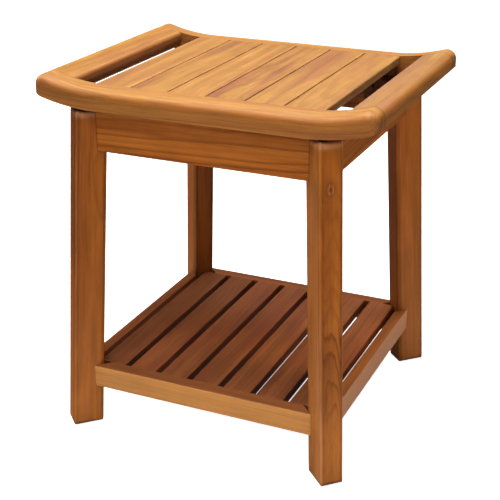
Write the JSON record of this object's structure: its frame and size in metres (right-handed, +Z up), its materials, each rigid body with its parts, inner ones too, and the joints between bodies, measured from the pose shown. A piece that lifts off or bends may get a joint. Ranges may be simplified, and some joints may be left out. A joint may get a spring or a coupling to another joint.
{
  "type": "teak shower bench",
  "caption": "Backless slatted wooden bench for a shower: saddle-shaped seat with a grab handle at each end, splayed square legs set at forty-five degrees, and a slatted shelf near the floor.",
  "frame": {"origin": "on the floor, under the middle of the seat", "axes": "+X runs from handle to handle, -Y is the front, +Z is up"},
  "size_m": [0.42, 0.3744, 0.4504],
  "materials": {
    "teak_frame": "oiled, satin",
    "teak_seat": "oiled, satin",
    "teak_leg": "oiled, satin",
    "teak_apron": "oiled, satin",
    "teak_inner": "oiled, satin",
    "teak_shelf_rail": "oiled, satin",
    "teak_shelf": "oiled, satin",
    "dowel_beech": "oiled, satin",
    "stainless_steel": "bright zinc or stainless"
  },
  "bodies": {
    "root": {"seat_rail_front": "teak_frame", "seat_rail_back": "teak_frame", "handle_left": "teak_frame", "handle_right": "teak_frame", "seat_slat_1": "teak_seat", "seat_slat_2": "teak_seat", "seat_slat_3": "teak_seat", "seat_slat_4": "teak_seat", "seat_slat_5": "teak_seat", "seat_slat_6": "teak_seat", "seat_cleat_front": "teak_inner", "seat_cleat_back": "teak_inner", "leg_front_left": "teak_leg", "leg_front_right": "teak_leg", "leg_back_left": "teak_leg", "leg_back_right": "teak_leg", "apron_front": "teak_apron", "apron_back": "teak_apron", "apron_left": "teak_apron", "apron_right": "teak_apron", "apron_block_front_left": "teak_inner", "apron_block_front_right": "teak_inner", "apron_block_back_left": "teak_inner", "apron_block_back_right": "teak_inner", "shelf_rail_front": "teak_shelf_rail", "shelf_rail_back": "teak_shelf_rail", "shelf_rail_left": "teak_shelf_rail", "shelf_rail_right": "teak_shelf_rail", "shelf_slat_1": "teak_shelf", "shelf_slat_2": "teak_shelf", "shelf_slat_3": "teak_shelf", "shelf_slat_4": "teak_shelf", "shelf_slat_5": "teak_shelf", "shelf_slat_6": "teak_shelf", "shelf_slat_7": "teak_shelf", "shelf_cleat_front": "teak_inner", "shelf_cleat_back": "teak_inner", "shelf_block_front_left": "teak_inner", "shelf_block_front_right": "teak_inner", "shelf_block_back_left": "teak_inner", "shelf_block_back_right": "teak_inner", "apron_bolts": "stainless_steel", "apron_washers": "stainless_steel", "apron_nuts": "stainless_steel", "shelf_bolts": "stainless_steel", "shelf_washers": "stainless_steel", "shelf_nuts": "stainless_steel", "apron_block_screws": "stainless_steel", "shelf_block_screws": "stainless_steel", "seat_cleat_screws": "stainless_steel", "seat_slat_screws": "stainless_steel", "shelf_cleat_screws": "stainless_steel", "shelf_slat_screws": "stainless_steel", "handle_dowels": "dowel_beech", "leg_dowels": "dowel_beech"}
  },
  "joints": []
}
